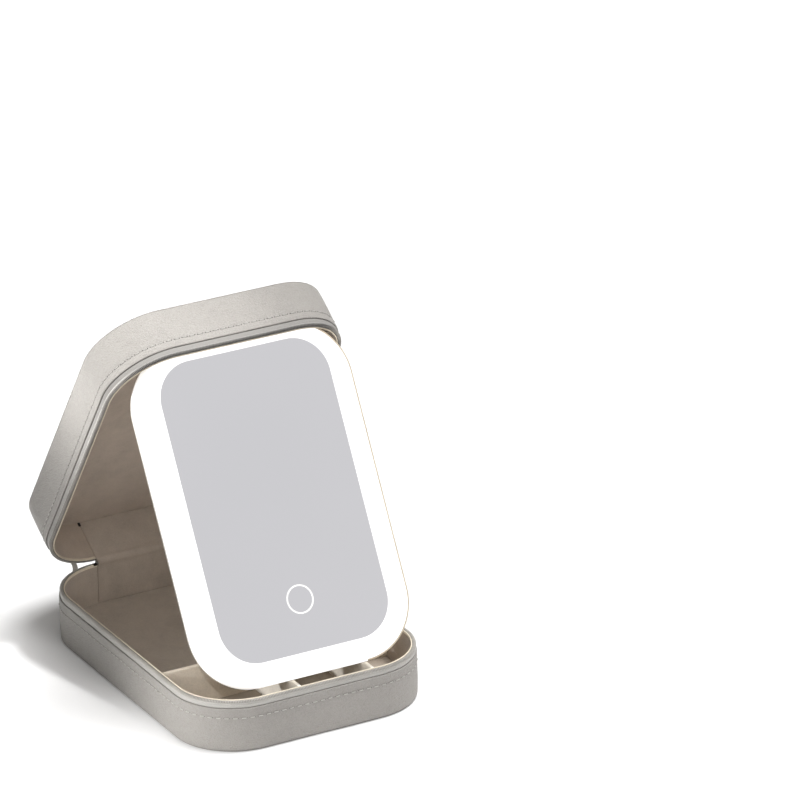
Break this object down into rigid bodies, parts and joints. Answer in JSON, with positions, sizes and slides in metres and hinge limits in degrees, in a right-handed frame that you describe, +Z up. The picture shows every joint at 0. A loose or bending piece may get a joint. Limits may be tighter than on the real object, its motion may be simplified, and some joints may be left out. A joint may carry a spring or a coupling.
{
  "type": "vanity box with mirror",
  "caption": "Zip-round travel vanity box, rounded rectangle in plan, standing open: its hinged lid is propped by a tilting mirror with a lit border; divided base.",
  "frame": {"origin": "centre of the base's underside, on the surface it stands on", "axes": "+X to the right seen from the front, +Y to the back where the lid is hinged, +Z up"},
  "size_m": [0.16, 0.2532, 0.2384],
  "materials": {
    "leather": "fine pebbled grain, satin",
    "leather_panel": "fine pebbled grain, satin, softly padded",
    "leather_underside": "fine grain, matte",
    "board": "raw grey-brown board",
    "suede": "short nap, matte",
    "partition": "short nap over board, matte",
    "divider": "smooth cream cloth over board, matte",
    "rim_edging": "turned pale edge, matte",
    "zip_tape": "close twill weave",
    "zip_teeth": "moulded coil, satin",
    "zip_metal": "cast and plated, satin",
    "foam": "open foam",
    "bracket": "moulded, satin",
    "screw": "zinc plated",
    "silvered_glass": "silvered, polished",
    "lit_diffuser": "frosted white, lit from behind",
    "frame_diffuser": "translucent white",
    "led_board": "white solder mask",
    "led": "phosphor under clear resin",
    "carrier": "moulded",
    "sensor_pad": "thin copper-coloured film",
    "touch_mark": "clear window, lit white",
    "circuit_board": "green solder mask",
    "battery_can": "foil pouch",
    "port_metal": "drawn shell",
    "back_shell": "fine texture, moulded",
    "pin_steel": "drawn wire"
  },
  "bodies": {
    "base": {"base_bottom_cover": "leather_underside", "base_bottom_board": "board", "base_frame_wall": "board", "base_side_cover": "leather", "base_wall_lining": "suede", "base_floor_pad": "suede", "base_rim_edging": "rim_edging", "base_zip_tape": "zip_tape", "base_zip_teeth": "zip_teeth", "base_spine": "leather", "base_hinge_lining": "suede", "zip_end_stops": "zip_teeth", "cross_partition": "partition", "divider_left": "divider", "divider_right": "divider", "zip_slider": "zip_metal"},
    "lid": {"lid_frame_wall": "board", "lid_side_cover": "leather", "lid_top_board": "board", "lid_top_foam": "foam", "lid_top_cover": "leather_panel", "lid_top_binding": "leather", "lid_wall_lining": "suede", "lid_panel_lining": "suede", "lid_rim_edging": "rim_edging", "lid_zip_tape": "zip_tape", "lid_zip_teeth": "zip_teeth", "lid_spine": "leather", "lid_hinge_lining": "suede", "bracket_plate": "bracket", "bracket_arms": "bracket", "bracket_screws": "screw"},
    "mirror": {"mirror_glass": "silvered_glass", "light_border": "lit_diffuser", "light_frame": "frame_diffuser", "led_board": "led_board", "leds": "led", "carrier_plate": "carrier", "touch_sensor": "sensor_pad", "touch_ring": "touch_mark", "control_board": "circuit_board", "battery": "battery_can", "charge_port": "port_metal", "mirror_back_cover": "back_shell", "back_cover_screws": "screw", "mirror_hinge_pin": "pin_steel"},
    "zip_pull": {"zip_pull": "zip_metal"}
  },
  "joints": [
    {"name": "lid_hinge", "type": "hinge", "parent": "base", "child": "lid", "pos_m": [0, 0.113, 0.0335], "axis": [-1, 0, 0], "range_deg": [-55.5, 51]},
    {"name": "mirror_tilt", "type": "hinge", "parent": "lid", "child": "mirror", "pos_m": [0, -0.0026, 0.21493], "axis": [1, 0, 0], "range_deg": [0, 63.2]},
    {"name": "zip_pull_swing", "type": "hinge", "parent": "base", "child": "zip_pull", "pos_m": [0.04604, 0.11598, 0.0298], "axis": [0.9903, -0.1392, 0], "range_deg": [0, 60]}
  ],
  "couplings": [
    {"joint": "lid_hinge", "follows": "mirror_tilt", "ratio": 0.8}
  ]
}
